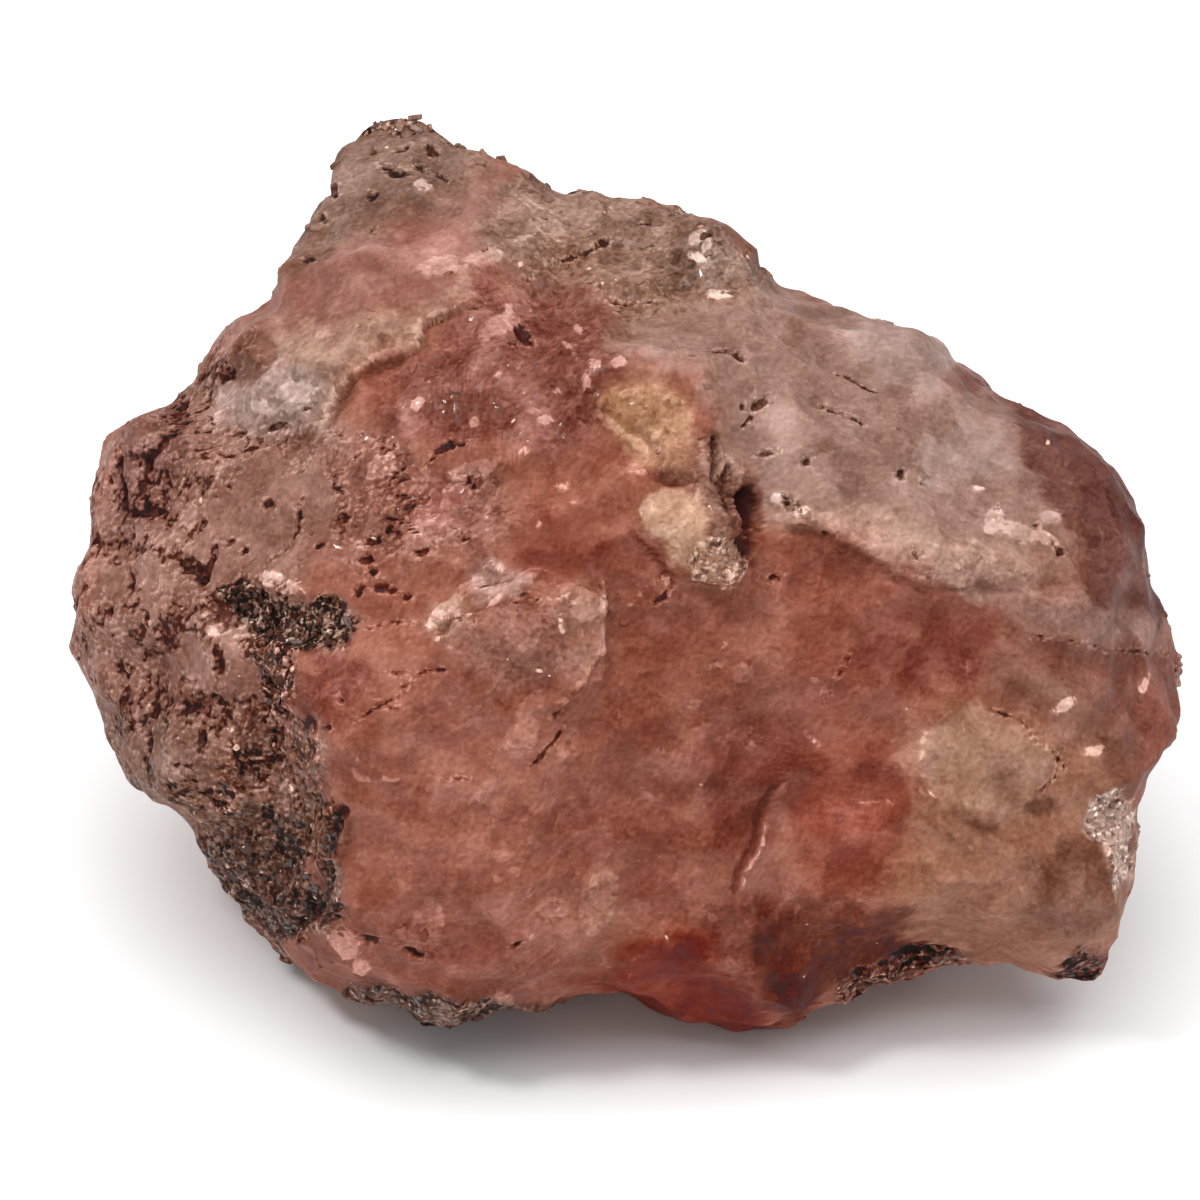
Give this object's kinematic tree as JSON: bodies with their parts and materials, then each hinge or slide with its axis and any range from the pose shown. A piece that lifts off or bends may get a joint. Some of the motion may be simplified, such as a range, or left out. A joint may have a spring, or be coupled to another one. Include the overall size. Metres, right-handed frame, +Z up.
{
  "type": "rough morganite specimen",
  "caption": "Rough lump of pink beryl (morganite) with a lumpy, fractured natural skin and one flat place to rest on.",
  "frame": {"origin": "centre of the bounding box's bottom face, on the plane that the stone rests on", "axes": "+Z up, +X to the right along the display face, and -Y towards whoever looks at the display face"},
  "size_m": [0.046, 0.032, 0.0293],
  "materials": {
    "rough_beryl": "satin"
  },
  "bodies": {
    "root": {"morganite_stone": "rough_beryl"}
  },
  "joints": []
}
